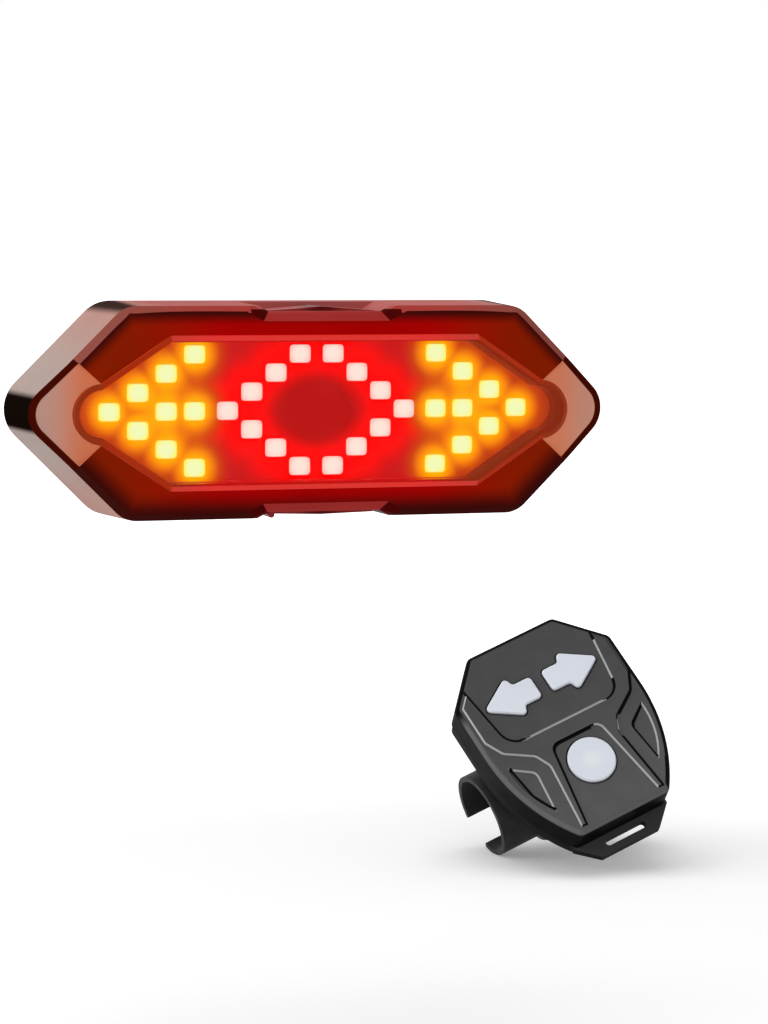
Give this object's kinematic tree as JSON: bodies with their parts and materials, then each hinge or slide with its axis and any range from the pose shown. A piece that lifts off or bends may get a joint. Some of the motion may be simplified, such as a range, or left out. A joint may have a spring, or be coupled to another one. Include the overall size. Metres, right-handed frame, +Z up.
{
  "type": "bicycle turn signal light",
  "caption": "Seatpost rear lamp with amber turn arrows and a red diamond, on a slide-off bracket, with its handlebar remote that has two arrow keys and a round key.",
  "frame": {"origin": "middle of the seatpost clamp, on the seatpost axis", "axes": "+Z up the seatpost, the lamp faces -Y, +X to the right as seen from behind the bicycle"},
  "size_m": [0.2317, 0.2203, 0.1686],
  "materials": {
    "smoked_shell": "smoked polycarbonate, polished",
    "clear_window": "clear polycarbonate, polished",
    "signal_panel": "moulded light guide",
    "amber_cap": "diffusing, lit",
    "red_cap": "diffusing, lit",
    "led_package": "resin",
    "circuit_board": "solder mask over fibreglass",
    "switch_plastic": "moulded",
    "lamp_rubber": "silicone, dark",
    "plated_steel": "nickel plated",
    "foam": "closed-cell foam tape",
    "battery_foil": "pouch foil",
    "black_plastic": "moulded, fine texture",
    "seal_rubber": "moulded",
    "screw_steel": "zinc plated",
    "strap_silicone": "silicone, satin",
    "remote_plastic": "fine satin texture",
    "key_plastic": "translucent, satin"
  },
  "bodies": {
    "bicycle_mounts": {"seatpost_bracket": "black_plastic", "bracket_pad": "seal_rubber", "seatpost_strap": "strap_silicone", "remote_top_shell": "remote_plastic", "remote_board": "circuit_board", "key_switches": "switch_plastic", "coin_cell": "plated_steel", "cell_clip": "plated_steel", "remote_base": "remote_plastic", "remote_seal": "seal_rubber", "base_screws": "screw_steel", "bar_shim": "seal_rubber", "bar_strap": "strap_silicone"},
    "lamp": {"front_shell": "smoked_shell", "window_lens": "clear_window", "light_mask": "signal_panel", "amber_lens_caps": "amber_cap", "red_lens_caps": "red_cap", "amber_leds": "led_package", "red_leds": "led_package", "led_board": "circuit_board", "power_switch": "switch_plastic", "charge_port": "plated_steel", "radio_module": "plated_steel", "battery_foam": "foam", "battery": "battery_foil", "rear_cover": "black_plastic", "housing_seal": "seal_rubber", "housing_screws": "screw_steel"},
    "power_button": {"power_button": "lamp_rubber"},
    "port_cover": {"port_cover": "lamp_rubber"},
    "left_arrow_key": {"left_arrow_key": "key_plastic"},
    "right_arrow_key": {"right_arrow_key": "key_plastic"},
    "round_key": {"round_key": "key_plastic"}
  },
  "joints": [
    {"name": "lamp_slide", "type": "slide", "parent": "bicycle_mounts", "child": "lamp", "axis": [0, 0, 1], "range_m": [0, 0.022]},
    {"name": "power_button_press", "type": "slide", "parent": "lamp", "child": "power_button", "axis": [0, 0, -1], "range_m": [0, 0.0005], "stiffness_N_per_m": 600},
    {"name": "port_cover_hinge", "type": "hinge", "parent": "lamp", "child": "port_cover", "pos_m": [-0.0113, -0.0406, -0.02275], "axis": [0, 1, 0], "range_deg": [0, 100]},
    {"name": "left_arrow_key_press", "type": "slide", "parent": "bicycle_mounts", "child": "left_arrow_key", "axis": [0.1633, 0.7982, -0.5799], "range_m": [0, 0.0005], "stiffness_N_per_m": 600},
    {"name": "right_arrow_key_press", "type": "slide", "parent": "bicycle_mounts", "child": "right_arrow_key", "axis": [0.1633, 0.7982, -0.5799], "range_m": [0, 0.0005], "stiffness_N_per_m": 600},
    {"name": "round_key_press", "type": "slide", "parent": "bicycle_mounts", "child": "round_key", "axis": [0.1633, 0.7982, -0.5799], "range_m": [0, 0.0005], "stiffness_N_per_m": 600}
  ]
}
